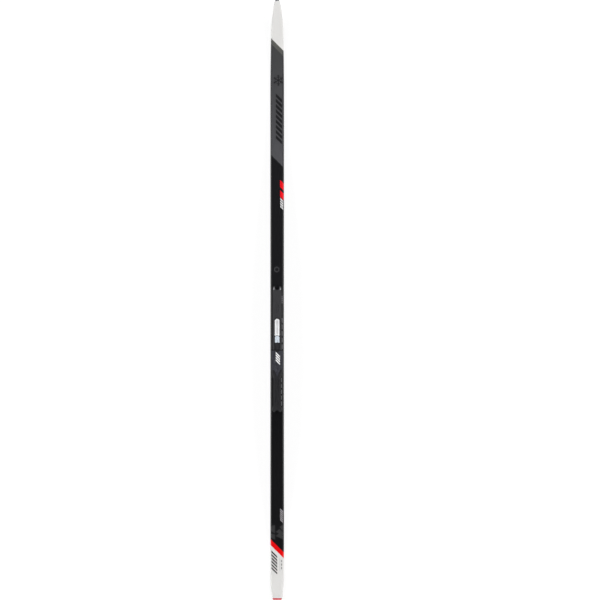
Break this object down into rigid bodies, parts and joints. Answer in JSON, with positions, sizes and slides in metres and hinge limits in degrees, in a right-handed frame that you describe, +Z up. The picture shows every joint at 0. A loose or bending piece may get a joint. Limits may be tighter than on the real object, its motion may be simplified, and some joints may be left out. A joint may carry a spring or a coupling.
{
  "type": "cross country skating ski",
  "caption": "Slim cambered skating ski with upturned tip, grooved running base, red tail cap and two moulded slide-on binding plates, without bindings.",
  "frame": {"origin": "middle of the ski's length and width, on the ground that the unweighted ski stands on", "axes": "+X towards the tip, +Y to the ski's left, +Z up out of the top sheet"},
  "size_m": [1.86, 0.0426, 0.0516],
  "materials": {
    "top_sheet": "satin",
    "base_sheet": "satin",
    "sidewall": "matte",
    "laminate": "satin",
    "core_wood": "matte",
    "core_light_wood": "matte",
    "filler": "matte",
    "insert_plate": "satin",
    "tip_protector": "matte",
    "tail_protector": "satin",
    "adhesive": "matte",
    "plate": "matte",
    "rack": "satin",
    "scale_block": "satin",
    "heel_pad": "matte"
  },
  "bodies": {
    "root": {"base_sheet": "base_sheet", "base_laminate": "laminate", "sidewall_left": "sidewall", "sidewall_right": "sidewall", "core_centre": "core_light_wood", "core_stringer_left": "core_wood", "core_stringer_right": "core_wood", "binding_reinforcement": "insert_plate", "top_laminate": "laminate", "top_sheet": "top_sheet", "tip_spacer": "filler", "tail_spacer": "filler", "tip_protector": "tip_protector", "tail_protector": "tail_protector", "front_plate_bond": "adhesive", "front_plate": "plate", "position_rack": "rack", "scale_block": "scale_block", "rear_plate_bond": "adhesive", "rear_plate": "plate", "heel_pad": "heel_pad"}
  },
  "joints": []
}
